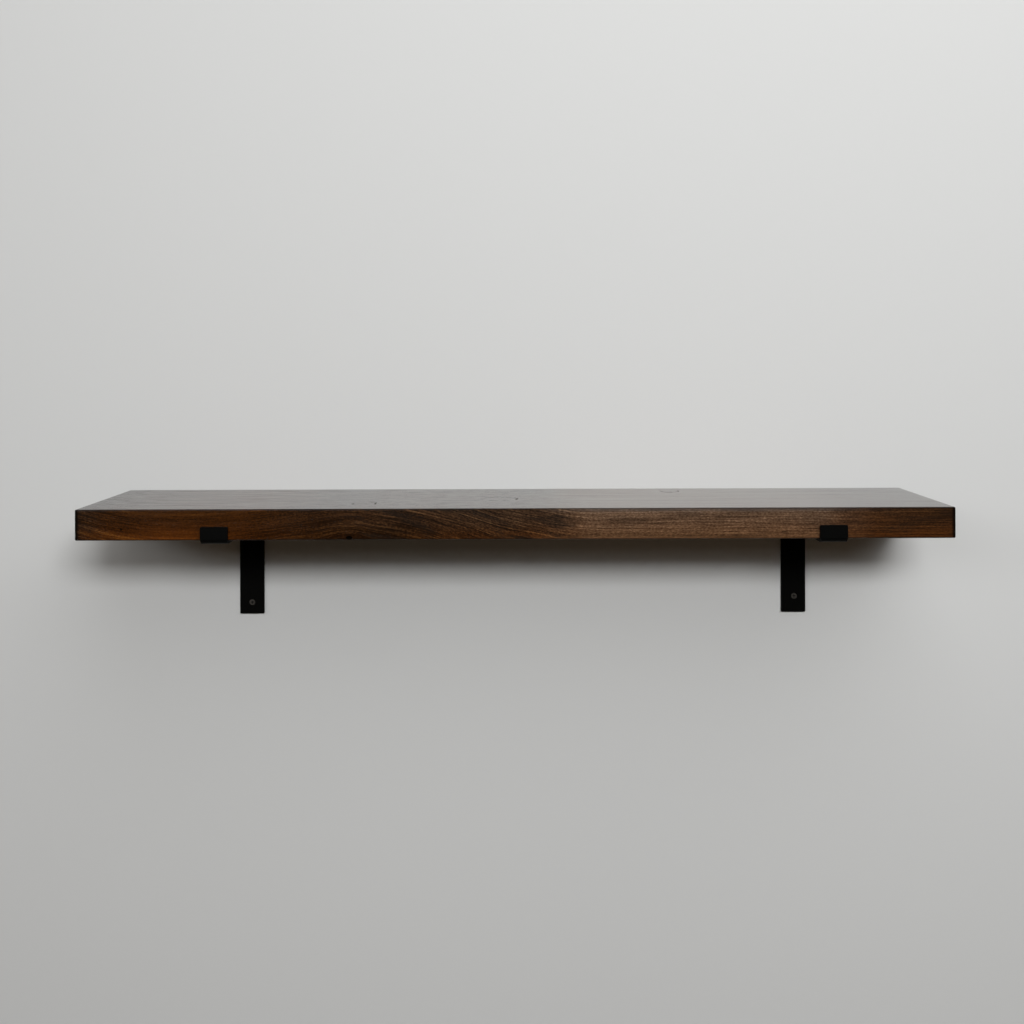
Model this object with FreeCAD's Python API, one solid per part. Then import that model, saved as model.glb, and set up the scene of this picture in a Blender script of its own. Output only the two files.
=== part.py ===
import FreeCAD, Part
import math
import os
from FreeCAD import Vector

# Wall shelf: a stained walnut plank lying on two bent steel strap brackets that are screwed to a wall.
# Each bracket is one strap: a leg down the wall, an arm under the plank and a lip up the plank's front.
# +X runs along the plank to the right, +Y into the wall and +Z up, in millimetres.
# The origin is the centre of the plank's back face, which lies on the wall plane.

# Plank
board_length = 1219.2
board_depth = 254.0
board_thickness = 43.0
board_edge_round = 2.0

# Strap of the brackets
strap_width = 38.1
strap_thickness = 4.76
bend_inner_radius = 3.0
bend_draw_in = 0.8
strap_corner_round = 1.5
strap_edge_break = 0.5

# Bracket lengths from the seat, the arm's upper face
leg_length = 152.4
lip_height = 19.05
lip_clearance = 0.5

# Bracket centres from the plank's ends
left_bracket_inset = 193.6
right_bracket_inset = 169.6

# Screws in the wall, two through each leg
wall_screw_diameter = 4.8
wall_screw_head_diameter = 9.2
wall_screw_length = 50.0
wall_countersink_diameter = 11.0
upper_hole_below_seat = 25.4
left_lower_hole_above_foot = 17.8
right_lower_hole_above_foot = 25.0
right_lower_hole_sideways = 1.4

# Screws in the plank, two up through each arm
shelf_screw_diameter = 4.2
shelf_screw_head_diameter = 8.4
shelf_screw_top_cover = 15.5
shelf_countersink_diameter = 9.4
rear_hole_from_wall = 60.0
front_hole_from_lip = 50.0

# Heads of all screws
head_angle = 90.0
recess_span_share = 0.55
recess_slot_width = 1.1
recess_depth = 1.6

# Wall plugs
plug_length = 40.0
plug_wall = 1.55
plug_neck_length = 14.0
plug_body_relief = 0.3
plug_slit_width = 1.2

# Clearances
hole_clearance = 0.3
screw_clearance = 0.05
pilot_end_clearance = 1.5

# Levels and planes that follow from the sizes above
seat_z = -board_thickness / 2
arm_bottom_z = seat_z - strap_thickness
foot_z = seat_z - leg_length
lip_top_z = seat_z + lip_height
leg_front_y = -strap_thickness
lip_gap = max(lip_clearance, bend_inner_radius - board_edge_round)
lip_back_y = -board_depth - lip_gap
lip_front_y = lip_back_y - strap_thickness
bend_outer_radius = bend_inner_radius + strap_thickness
head_slope = math.tan(math.radians(head_angle / 2))

# Bracket centres and the lower hole of each, from the sides
left_centre_x = -board_length / 2 + left_bracket_inset
right_centre_x = board_length / 2 - right_bracket_inset
upper_hole_z = seat_z - upper_hole_below_seat
brackets = {
    "left": {"x": left_centre_x, "lower_x": left_centre_x, "lower_z": foot_z + left_lower_hole_above_foot},
    "right": {
        "x": right_centre_x,
        "lower_x": right_centre_x + right_lower_hole_sideways,
        "lower_z": foot_z + right_lower_hole_above_foot,
    },
}
rear_hole_y = -rear_hole_from_wall
front_hole_y = lip_back_y + front_hole_from_lip
into_wall = Vector(0, 1, 0)
up = Vector(0, 0, 1)


def wall_hole_points(side):
    """Centres of a leg's two holes on its front face, by name."""
    bracket = brackets[side]
    return {
        "upper": Vector(bracket["x"], leg_front_y, upper_hole_z),
        "lower": Vector(bracket["lower_x"], leg_front_y, bracket["lower_z"]),
    }


def shelf_hole_points(side):
    """Centres of an arm's two holes on its underside, by name."""
    x = brackets[side]["x"]
    return {
        "rear": Vector(x, rear_hole_y, arm_bottom_z),
        "front": Vector(x, front_hole_y, arm_bottom_z),
    }


def screw_recess(countersink_diameter, head_diameter):
    """Depth of a seated head's top below the surface that its hole is sunk in."""
    return (countersink_diameter - head_diameter) / 2 / head_slope - screw_clearance


shelf_screw_recess = screw_recess(shelf_countersink_diameter, shelf_screw_head_diameter)
shelf_screw_bite = board_thickness - shelf_screw_top_cover
shelf_screw_length = strap_thickness - shelf_screw_recess + shelf_screw_bite


def save(shape, node):
    shape.exportStep(f"parts/{node}.step")


def revolved(outline, start, direction):
    """Solid turned from (distance along the axis, radius) points, with its axis from start along direction."""
    points = [Vector(radius, 0, along) for along, radius in outline]
    face = Part.Face(Part.makePolygon(points + points[:1]))
    solid = face.revolve(Vector(0, 0, 0), Vector(0, 0, 1), 360)
    solid.Placement = FreeCAD.Placement(start, FreeCAD.Rotation(Vector(0, 0, 1), direction))
    return solid


def arc(centre_y, centre_z, radius, start_angle, end_angle):
    """Arc in the plane across the strap, with angles in degrees from +Y towards +Z."""
    points = []
    for angle in (start_angle, (start_angle + end_angle) / 2, end_angle):
        turn = math.radians(angle)
        points.append(Vector(0, centre_y + radius * math.cos(turn), centre_z + radius * math.sin(turn)))
    return Part.Arc(*points).toShape()


def line(start_y, start_z, end_y, end_z):
    return Part.LineSegment(Vector(0, start_y, start_z), Vector(0, end_y, end_z)).toShape()


wall_bend_y = -bend_outer_radius
wall_bend_z = seat_z - bend_outer_radius
lip_bend_y = lip_back_y + bend_inner_radius
lip_bend_z = seat_z + bend_inner_radius


def strap_profile():
    """Side view of the bent strap, from the foot's back edge up the wall, out to the lip and back."""
    edges = [
        line(0, foot_z, 0, wall_bend_z),
        arc(wall_bend_y, wall_bend_z, bend_outer_radius, 0, 90),
        line(wall_bend_y, seat_z, lip_bend_y, seat_z),
        arc(lip_bend_y, lip_bend_z, bend_inner_radius, 270, 180),
        line(lip_back_y, lip_bend_z, lip_back_y, lip_top_z),
        line(lip_back_y, lip_top_z, lip_front_y, lip_top_z),
        line(lip_front_y, lip_top_z, lip_front_y, lip_bend_z),
        arc(lip_bend_y, lip_bend_z, bend_outer_radius, 180, 270),
        line(lip_bend_y, arm_bottom_z, wall_bend_y, arm_bottom_z),
        arc(wall_bend_y, wall_bend_z, bend_inner_radius, 90, 0),
        line(leg_front_y, wall_bend_z, leg_front_y, foot_z),
        line(leg_front_y, foot_z, 0, foot_z),
    ]
    return Part.Face(Part.Wire(edges))


def end_corner_edges(strap):
    """The four corners, across the strap's thickness, of the leg's foot and of the lip's top."""
    corners = []
    for edge in strap.Edges:
        middle = edge.CenterOfMass
        along_y = abs(edge.tangentAt(edge.FirstParameter).y) > 0.999
        at_end = min(abs(middle.z - foot_z), abs(middle.z - lip_top_z)) < strap_thickness / 100
        if along_y and at_end:
            corners.append(edge)
    return corners


def rim_edges(strap):
    """The sharp edges round the strap's two faces: those where two faces meet at an angle."""
    sharp = []
    for edge in strap.Edges:
        faces = strap.ancestorsOfType(edge, Part.Face)
        middle = edge.valueAt((edge.FirstParameter + edge.LastParameter) / 2)
        normals = [face.normalAt(*face.Surface.parameter(middle)) for face in faces]
        if len(normals) == 2 and abs(normals[0].dot(normals[1])) < 0.5:
            sharp.append(edge)
    return sharp


def bend_narrowing(centre_y, centre_z, inward, side_x, outside):
    """What a bend loses at one side where its stretched outer face draws in.

    A flat cone about an axis inside the bend leaves the side face whole at the bend's ends
    and takes off the draw-in at the middle of the outer face. Outside is the side's direction along X.
    """
    shift = bend_outer_radius
    axis_y = centre_y + shift * inward[0] * math.sqrt(0.5)
    axis_z = centre_z + shift * inward[1] * math.sqrt(0.5)
    reach = shift + bend_outer_radius
    start = bend_outer_radius * (1 + math.sqrt(0.5)) + strap_edge_break
    slope = (reach - start) / bend_draw_in
    deep = 2 * bend_draw_in
    spare = strap_thickness
    cone = Part.makeCone(start + slope * deep, start - slope * deep, 2 * deep, Vector(-deep, 0, 0), Vector(1, 0, 0))
    ring = Part.makeCylinder(start + slope * deep + spare, 2 * deep, Vector(-deep, 0, 0), Vector(1, 0, 0)).cut(cone)
    if outside < 0:
        ring = ring.mirror(Vector(0, 0, 0), Vector(1, 0, 0))
    ring.translate(Vector(side_x, axis_y, axis_z))
    sector = Part.makeBox(4 * deep, reach + spare, reach + spare)
    low_y = axis_y if inward[0] < 0 else axis_y - reach - spare
    low_z = axis_z if inward[1] < 0 else axis_z - reach - spare
    sector.translate(Vector(side_x - 2 * deep, low_y, low_z))
    return ring.common(sector)


def countersunk_hole(point, direction, screw_diameter, countersink_diameter):
    """Clear hole through the strap with its mouth sunk for the head, from point along direction."""
    mouth = countersink_diameter / 2
    radius = screw_diameter / 2 + hole_clearance
    sink = (mouth - radius) / head_slope
    outside = strap_thickness
    outline = [
        (-outside, 0),
        (-outside, mouth),
        (0, mouth),
        (sink, radius),
        (strap_thickness + outside, radius),
        (strap_thickness + outside, 0),
    ]
    return revolved(outline, point, direction)


def make_bracket(side):
    """One bent strap with rounded corners, broken edges, drawn-in bends and four countersunk holes."""
    centre_x = brackets[side]["x"]
    low_x = centre_x - strap_width / 2
    strap = strap_profile().extrude(Vector(strap_width, 0, 0))
    strap.translate(Vector(low_x, 0, 0))
    strap = strap.makeFillet(strap_corner_round, end_corner_edges(strap))
    strap = strap.makeChamfer(strap_edge_break, rim_edges(strap))
    for side_x, outside in ((low_x, -1), (low_x + strap_width, 1)):
        strap = strap.cut(bend_narrowing(lip_bend_y, lip_bend_z, (1, 1), side_x, outside))
        strap = strap.cut(bend_narrowing(wall_bend_y, wall_bend_z, (-1, -1), side_x, outside))
    for point in wall_hole_points(side).values():
        strap = strap.cut(countersunk_hole(point, into_wall, wall_screw_diameter, wall_countersink_diameter))
    for point in shelf_hole_points(side).values():
        strap = strap.cut(countersunk_hole(point, up, shelf_screw_diameter, shelf_countersink_diameter))
    return strap


def cross_recess(head_diameter, top, direction):
    """Cross-shaped driver recess, sunk from the head's top along the screw."""
    span = head_diameter * recess_span_share
    slots = []
    for length, width in ((span, recess_slot_width), (recess_slot_width, span)):
        slots.append(Part.makeBox(length, width, 2 * recess_depth, Vector(-length / 2, -width / 2, -recess_depth)))
    cross = slots[0].fuse(slots[1]).removeSplitter()
    cross.Placement = FreeCAD.Placement(top, FreeCAD.Rotation(Vector(0, 0, 1), direction))
    return cross


def make_screw(surface_point, direction, recess, diameter, head_diameter, length):
    """Countersunk screw driven along direction, its head's top lying recess below the surface point."""
    top = surface_point + direction * recess
    radius = diameter / 2
    head_radius = head_diameter / 2
    head_height = (head_radius - radius) / head_slope
    outline = [
        (0, 0),
        (0, head_radius),
        (head_height, radius),
        (length, radius),
        (length, 0),
    ]
    return revolved(outline, top, direction).cut(cross_recess(head_diameter, top, direction))


def make_wall_plug(hole_point):
    """Nylon plug in the wall behind one hole of a leg: a neck that grips, then two slimmer split halves."""
    start = Vector(hole_point.x, 0, hole_point.z)
    bore = wall_screw_diameter / 2 + screw_clearance
    neck_radius = bore + plug_wall
    body_radius = neck_radius - plug_body_relief
    outline = [
        (0, bore),
        (0, neck_radius),
        (plug_neck_length, neck_radius),
        (plug_neck_length, body_radius),
        (plug_length, body_radius),
        (plug_length, bore),
    ]
    slit = Part.makeBox(plug_slit_width, plug_length, 2 * neck_radius)
    slit.translate(start + Vector(-plug_slit_width / 2, plug_neck_length, -neck_radius))
    return revolved(outline, start, into_wall).cut(slit)


def make_board():
    """The plank with all its edges eased and a blind pilot hole for each shelf screw."""
    low_corner = Vector(-board_length / 2, -board_depth, -board_thickness / 2)
    board = Part.makeBox(board_length, board_depth, board_thickness, low_corner)
    board = board.makeFillet(board_edge_round, board.Edges)
    radius = shelf_screw_diameter / 2 + screw_clearance
    pilot_depth = shelf_screw_bite + pilot_end_clearance
    for side in brackets:
        for point in shelf_hole_points(side).values():
            board = board.cut(Part.makeCylinder(radius, pilot_depth, Vector(point.x, point.y, seat_z), up))
    return board


def build():
    os.makedirs("parts", exist_ok=True)
    save(make_board(), "shelf_board")
    wall_recess = screw_recess(wall_countersink_diameter, wall_screw_head_diameter)
    for side in brackets:
        save(make_bracket(side), f"bracket_{side}")
        for level, point in wall_hole_points(side).items():
            screw = make_screw(
                point, into_wall, wall_recess, wall_screw_diameter, wall_screw_head_diameter, wall_screw_length
            )
            save(screw, f"wall_screw_{side}_{level}")
            save(make_wall_plug(point), f"wall_plug_{side}_{level}")
        for place, point in shelf_hole_points(side).items():
            screw = make_screw(
                point, up, shelf_screw_recess, shelf_screw_diameter, shelf_screw_head_diameter, shelf_screw_length
            )
            save(screw, f"shelf_screw_{side}_{place}")


build()
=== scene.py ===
import math

import bmesh
import bpy
import numpy as np
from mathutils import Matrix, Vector


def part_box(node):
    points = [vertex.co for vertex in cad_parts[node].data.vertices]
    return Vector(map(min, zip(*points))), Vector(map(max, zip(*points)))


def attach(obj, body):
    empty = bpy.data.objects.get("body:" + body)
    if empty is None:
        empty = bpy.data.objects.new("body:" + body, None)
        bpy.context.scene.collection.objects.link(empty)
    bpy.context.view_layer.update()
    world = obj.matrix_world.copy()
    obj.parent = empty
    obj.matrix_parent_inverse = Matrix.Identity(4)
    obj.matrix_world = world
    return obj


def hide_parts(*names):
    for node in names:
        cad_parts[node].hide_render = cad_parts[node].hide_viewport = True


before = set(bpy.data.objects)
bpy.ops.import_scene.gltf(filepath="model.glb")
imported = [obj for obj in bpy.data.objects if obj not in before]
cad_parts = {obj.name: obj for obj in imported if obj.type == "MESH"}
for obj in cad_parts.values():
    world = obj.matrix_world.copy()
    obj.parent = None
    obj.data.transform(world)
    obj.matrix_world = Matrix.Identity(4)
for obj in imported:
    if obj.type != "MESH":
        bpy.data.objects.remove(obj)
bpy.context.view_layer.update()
mm = 0.001
sides = ("left", "right")
print("frame:", len(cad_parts), "nodes")


# shader wiring

class Wire:
    # one output of a node tree; arithmetic on it adds Math nodes
    def __init__(self, tree, socket=None):
        self.tree = tree
        self.socket = socket

    # any node: its settings first, then the values or links of its sockets
    def node(self, kind, settings=None, inputs=None, output=0):
        made = self.tree.nodes.new(kind)
        for name, value in (settings or {}).items():
            if name == "stops":
                setStops(made.color_ramp, value)
            elif name == "blend":
                made.color_ramp.interpolation = value
            else:
                setattr(made, name, value)
        for name, value in (inputs or {}).items():
            if isinstance(value, Wire):
                self.tree.links.new(value.socket, made.inputs[name])
            else:
                made.inputs[name].default_value = value
        return Wire(self.tree, made.outputs[output] if len(made.outputs) else None)

    # a Math node on these numbers or links
    def math(self, operation, *values):
        return self.node("ShaderNodeMath", {"operation": operation}, dict(enumerate(values)))

    def __add__(self, other):
        return self.math("ADD", self, other)

    __radd__ = __add__

    def __sub__(self, other):
        return self.math("SUBTRACT", self, other)

    def __rsub__(self, other):
        return self.math("SUBTRACT", other, self)

    def __mul__(self, other):
        return self.math("MULTIPLY", self, other)

    __rmul__ = __mul__

    def __truediv__(self, other):
        return self.math("DIVIDE", self, other)

    def __pow__(self, other):
        return self.math("POWER", self, other)

    # the three parts of a vector
    def parts(self):
        split = self.node("ShaderNodeSeparateXYZ", inputs={0: self}).socket.node
        return [Wire(self.tree, out) for out in split.outputs]

    # smooth noise from 0 to 1 at x, y and z times their scales
    def noise(self, place, scale, detail=3.0, rough=0.55):
        x, y, z = (part * size for part, size in zip(place, scale))
        vector = self.node("ShaderNodeCombineXYZ", inputs={0: x, 1: y, 2: z})
        return self.node("ShaderNodeTexNoise", inputs={
            "Vector": vector, "Scale": 1.0, "Detail": detail, "Roughness": rough})

    # 0 below low, 1 above high, smooth between
    def step(self, value, low, high):
        return self.node("ShaderNodeMapRange", {"interpolation_type": "SMOOTHSTEP"}, {
            "Value": value, "From Min": low, "From Max": high})

    # a colour or grey value read from stops along a value from 0 to 1
    def ramp(self, value, stops, blend="LINEAR"):
        return self.node("ShaderNodeValToRGB", {"stops": stops, "blend": blend}, {"Fac": value})

    # the first colour at share 0, and the second, or its product with the first, at share 1
    def mix(self, share, first, second, kind="MIX"):
        return self.node("ShaderNodeMix", {"data_type": "RGBA", "blend_type": kind}, {
            0: share, 6: first, 7: second}, output=2)

    # a normal tilted by the slope of a height whose 1 stands for distance
    def bump(self, height, strength, distance):
        return self.node("ShaderNodeBump", inputs={
            "Height": height, "Strength": strength, "Distance": distance})


# a ramp's stops are (place, colour) or (place, grey value)
def setStops(ramp, stops):
    while len(ramp.elements) > 1:
        ramp.elements.remove(ramp.elements[-1])
    for count, (place, value) in enumerate(stops):
        stop = ramp.elements[0] if count == 0 else ramp.elements.new(place)
        stop.position = place
        stop.color = (*value, 1) if isinstance(value, tuple) else (value, value, value, 1)


# an empty material and a wire to start its nodes from
def newTree(name):
    material = bpy.data.materials.new(name)
    material.use_nodes = True
    material.node_tree.nodes.clear()
    return material, Wire(material.node_tree)


# Object coordinates x, y and z in mm
def objectPlace(start):
    place = start.node("ShaderNodeTexCoord", output="Object")
    return [part * (1 / mm) for part in place.parts()]


# ends a material: a Principled shader with these sockets, and a share of another shader over it
def finishWith(start, sockets, share=None, over=None):
    shader = start.node("ShaderNodeBsdfPrincipled", inputs=sockets)
    if over:
        shader = start.node("ShaderNodeMixShader", inputs={0: share, 1: shader, 2: over})
    start.node("ShaderNodeOutputMaterial", inputs={"Surface": shader})


# meshes from whole arrays

# arrays end to end
def chain(*parts):
    return np.concatenate(parts)


# quads of a grid numbered row by row; a closed direction joins its last line to its first
def gridFaces(rows, columns, closeRows=False, closeColumns=False):
    row = np.arange(rows if closeRows else rows - 1)[:, None]
    column = np.arange(columns if closeColumns else columns - 1)[None, :]
    here, below = row * columns, (row + 1) % rows * columns
    beside = (column + 1) % columns
    corners = (here + column, here + beside, below + beside, below + column)
    return np.stack(np.broadcast_arrays(*corners), axis=-1).reshape(-1, 4)


# one row per point from three arrays or numbers
def rowsOf(x, y, z):
    return np.stack(np.broadcast_arrays(x, y, z), axis=-1).reshape(-1, 3)


# joins (points, faces) pairs into one, each pair's faces counted on from the points before it
def joined(patches):
    points, faces = zip(*patches)
    starts = np.cumsum([0] + [len(some) for some in points])
    return chain(*points), chain(*(some + start for some, start in zip(faces, starts)))


# lines between break points: each stretch is cut into its own count of equal steps
def lines(breaks, counts):
    stretches = [np.linspace(a, b, n, endpoint=False) for a, b, n in zip(breaks, breaks[1:], counts)]
    return chain(*stretches, breaks[-1:])


# lowest and highest corner of a node's box
def boxOf(node):
    return [np.array(corner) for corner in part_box(node)]


weldDistance = 0.002 * mm
tiny = 1e-12  # keeps divisions off zero


# an object with this data, at the origin
def addObject(name, data):
    thing = bpy.data.objects.new(name, data)
    bpy.context.scene.collection.objects.link(thing)
    return thing


# a piece that rides on the shelf: unused points dropped, seams welded, faces turned outwards, edges past
# sharpAngle kept
def addPiece(name, points, faces, finish, replaced, sharpAngle=40, marks=None):
    used, order = np.unique(faces, return_inverse=True)
    points, faces = points[used], order.reshape(-1, 4)
    mesh = bpy.data.meshes.new(name)
    mesh.vertices.add(len(points))
    mesh.vertices.foreach_set("co", points.astype(np.float32).ravel())
    mesh.loops.add(faces.size)
    mesh.loops.foreach_set("vertex_index", faces.astype(np.int32).ravel())
    mesh.polygons.add(len(faces))
    mesh.polygons.foreach_set("loop_start", np.arange(0, faces.size, 4, dtype=np.int32))
    mesh.update(calc_edges=True)
    for mark, values in (marks or {}).items():
        layer = mesh.attributes.new(mark, "FLOAT", "POINT")
        layer.data.foreach_set("value", values[used].astype(np.float32))
    work = bmesh.new()
    work.from_mesh(mesh)
    bmesh.ops.remove_doubles(work, verts=work.verts, dist=weldDistance)
    bmesh.ops.recalc_face_normals(work, faces=work.faces)
    work.to_mesh(mesh)
    work.free()
    mesh.shade_smooth()
    mesh.set_sharp_from_angle(angle=math.radians(sharpAngle))
    mesh.materials.append(finish)
    piece = addObject(name, mesh)
    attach(piece, "root")
    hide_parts(*replaced)


# walnut

plankLow, plankHigh = boxOf("shelf_board")
halfLength = plankHigh[0] / mm

wood = {
    "pithY": -150.0,  # the tree's middle, below and behind the front, mm
    "pithZ": -80.0,
    "ringWidth": 5.2,
    "ringShift": 1.7,  # rings by which the spacing noise shifts a ring
    "ringShiftScale": 0.05,
    # latewood and earlywood across one ring
    "late": [(0.0, 0.15), (0.5, 0.25), (0.86, 1.0), (0.95, 0.85), (1.0, 0.15)],
    "early": [(0.0, 1.0), (0.07, 0.9), (0.2, 0.0), (0.88, 0.0), (1.0, 1.0)],
    # how high one growth ring stands along the plank: (mm along, mm up)
    "rise": [
        (-610, 0), (-574, -12), (-520, -22.5), (-440, -25.5), (-352, -19), (-270, -6.5), (-229, -3),
        (-200, -6), (-131, -19), (-62, -42), (-20, -55.5), (35, -68), (77, -75), (120, -77), (610, -78)],
    "riseSpan": 80.0,
    "slowWaver": 9.0,
    "quickWaver": 2.4,
    # how far a knot in the front lifts the rings round it: along, in and up
    "knotReach": (26.0, 45.0, 16.0),
    # grain noises: scales per mm along, in and up, detail, and roughness where it isn't the usual
    "grain": {
        "slow": ((0.004, 0.014, 0.02), 2.0),
        "quick": ((0.018, 0.05, 0.09), 2.0),
        "bands": ((0.0045, 0.1, 0.17), 3.0),
        "streaks": ((0.02, 0.6, 0.9), 3.0, 0.6),
        "fibres": ((0.06, 1.6, 2.0), 2.0, 0.6),
        "mottle": ((0.3, 0.7, 0.6), 2.0, 0.6),
        "pores": ((0.13, 3.2, 3.2), 1.0),
        "shown": ((0.006, 0.1, 0.25), 2.0),
        "cloud": ((0.015, 0.05, 0.075), 3.0),
        "vessels": ((0.3, 1.2, 1.2), 2.0),
    },
    # limits between which a share rises from 0 to 1: noise levels, then heights, then depths, in mm
    "limits": {
        "pores": (0.62, 0.74), "shown": (0.42, 0.58), "cloud": (0.5, 0.66), "hollow": (0.08, 0.5),
        "upperHalf": (0.0, 19.0), "top": (20.0, 21.4), "topSkin": (20.6, 21.4), "bloom": (14.0, 20.0),
        "foot": (-20.0, 2.0), "height": (-20.0, 20.0), "shade": (-12.0, 16.0), "rubbed": (-20.6, -18.4),
        "behindFront": (-250.0, -240.0), "behindArris": (-252.0, -249.0),
    },
    # the same, counted back from the plank's ends
    "endGrainReach": (2.6, 0.8),
    "arrisReach": (6.6, 1.6),
    # share of pale straight-grained wood, whose lighter, greyer colour is partly painted sheen, and of grey
    # wood where the grain dives into the face
    "paleAlong": [
        (-610, 0), (20, 0), (72, 0.45), (110, 0.95), (420, 0.85), (465, 0.3), (510, 0.06), (610, 0)],
    "greyAlong": [
        (-610, 0.5), (-588, 0.36), (-560, 0.12), (-380, 0.12), (-290, 0.36), (-170, 0.65), (0, 0.85),
        (70, 0.7), (120, 0.3), (470, 0.3), (540, 0.4), (610, 0.5)],
    # how deep the stain took along the plank at the front's head and foot, and where it left dark clouds
    "headShade": [
        (-610, 0.3), (-594, 0.42), (-559, 0.54), (-476, 0.7), (-405, 0.74), (-342, 0.74), (-266, 0.42),
        (-176, 0.78), (-75, 0.78), (35, 0.95), (145, 0.92), (256, 0.9), (364, 0.83), (420, 0.8),
        (501, 0.67), (610, 0.52)],
    "footShade": [
        (-610, 0.33), (-594, 0.48), (-559, 0.6), (-476, 0.98), (-405, 0.7), (-342, 0.36), (-266, 0.22),
        (-176, 0.14), (-75, 0.6), (35, 0.74), (145, 0.78), (256, 0.78), (364, 0.86), (420, 0.8),
        (501, 0.66), (610, 0.72)],
    "cloudAlong": [
        (-610, 0.6), (-560, 0.2), (-320, 0.3), (-200, 0.8), (60, 1.0), (130, 0.4), (440, 0.4), (610, 0.5)],
    # how strongly the grain stands out along the plank
    "contrastAlong": [
        (-610, 0.8), (-560, 0.8), (-490, 0.5), (-390, 0.5), (-310, 0.75), (-220, 0.95), (-60, 1.0),
        (60, 1.0), (120, 0.85), (420, 0.85), (490, 0.7), (610, 0.6)],
    "cloudColour": (0.0105, 0.0078, 0.0064, 1),
    # colour of the painted sheen on the pale stretch's top edge and top face
    "paintedSheenColour": (0.085, 0.077, 0.073, 1),
    "footGlow": (0.17, 0.07, 0.022, 1),
    "middleTone": 0.45,
    "leastRough": 0.04,
    "easedColour": (0.008, 0.0042, 0.0022, 1),
    "arrisColour": (0.0028, 0.002, 0.0015, 1),  # darker on the upright front edges at the plank's ends
    # near black of the matt spots: painted shade in the knot hole and the top knots' splits, the pin knot's
    # own dark wood
    "knotColour": (0.003, 0.002, 0.0014, 1),
    # tones from latewood to light fibres
    "warm": [
        (0.0, (0.0122, 0.0043, 0.001)), (0.4, (0.062, 0.0173, 0.0018)),
        (0.7, (0.131, 0.0385, 0.0038)), (1.0, (0.32, 0.121, 0.017))],
    "grey": [
        (0.0, (0.0089, 0.0055, 0.0043)), (0.4, (0.0462, 0.025, 0.0139)),
        (0.7, (0.105, 0.0593, 0.0328)), (1.0, (0.283, 0.163, 0.088))],
    # pale wood: lighter and greyer partly as painted sheen
    "pale": [
        (0.0, (0.048, 0.0264, 0.0147)), (0.4, (0.136, 0.0745, 0.0424)),
        (0.7, (0.219, 0.124, 0.072)), (1.0, (0.408, 0.252, 0.155))],
    # foot, middle and top of the front: painted sheen, warm at the foot and cooler and greyer towards the
    # top
    "paintedSheenTint": [(0.0, (1.0, 0.92, 0.79)), (0.5, (0.867, 0.853, 0.827)), (1.0, (0.88, 0.947, 1.0))],
    "heart": [(0.0, (0.006, 0.003, 0.0016)), (0.45, (0.028, 0.0125, 0.0055)), (1.0, (0.085, 0.037, 0.015))],
    "end": [(0.0, (0.011, 0.0055, 0.0027)), (0.5, (0.045, 0.019, 0.007)), (1.0, (0.12, 0.052, 0.019))],
}

knots = [
    {"x": -230.0, "y": -254.0, "z": -18.7, "wide": 4.0, "high": 2.3, "deep": 2.2, "lift": 5.0},
    {"x": -545.4, "y": -254.0, "z": -5.9, "wide": 1.1, "high": 1.7, "deep": 0.2, "lift": 0.0},
]

# knots in the top: half sizes of the rim, how far it lifts the rings, and the stretches split open:
# from and to in degrees, counted from the right towards the wall, half width and depth in mm, and how dark
# the painted shade in the split is
topKnots = [
    {"x": -215.0, "y": -192.0, "along": 16.0, "across": 22.0, "lift": 9.0, "splits": [
        (-30, 14, 1.5, 1.1, 0.42), (8, 80, 1.0, 0.7, 0.4), (166, 208, 1.2, 0.9, 0.36)]},
    {"x": -24.0, "y": -139.5, "along": 26.5, "across": 20.5, "lift": 11.0, "splits": [
        (-16, 9, 2.2, 1.3, 0.4), (5, 60, 1.0, 0.7, 0.34), (66, 84, 0.9, 0.6, 0.3),
        (92, 163, 0.8, 0.5, 0.28), (171, 189, 1.6, 1.0, 0.38), (232, 266, 1.0, 0.7, 0.32),
        (290, 303, 1.1, 0.7, 0.32)]},
    {"x": 239.5, "y": -40.0, "along": 14.0, "across": 17.0, "lift": 8.0, "splits": [
        (150, 188, 1.0, 0.7, 0.3), (200, 232, 1.6, 1.0, 0.45), (244, 282, 2.0, 1.2, 0.5),
        (296, 318, 1.0, 0.7, 0.3), (-36, 4, 1.8, 1.1, 0.45), (14, 34, 1.0, 0.7, 0.3)]},
]


# stops given along the plank, as places from 0 to 1
def alongStops(pairs, span=1.0, low=0.0):
    return [((x + halfLength) / (2 * halfLength), (value - low) / span) for x, value in pairs]


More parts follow.
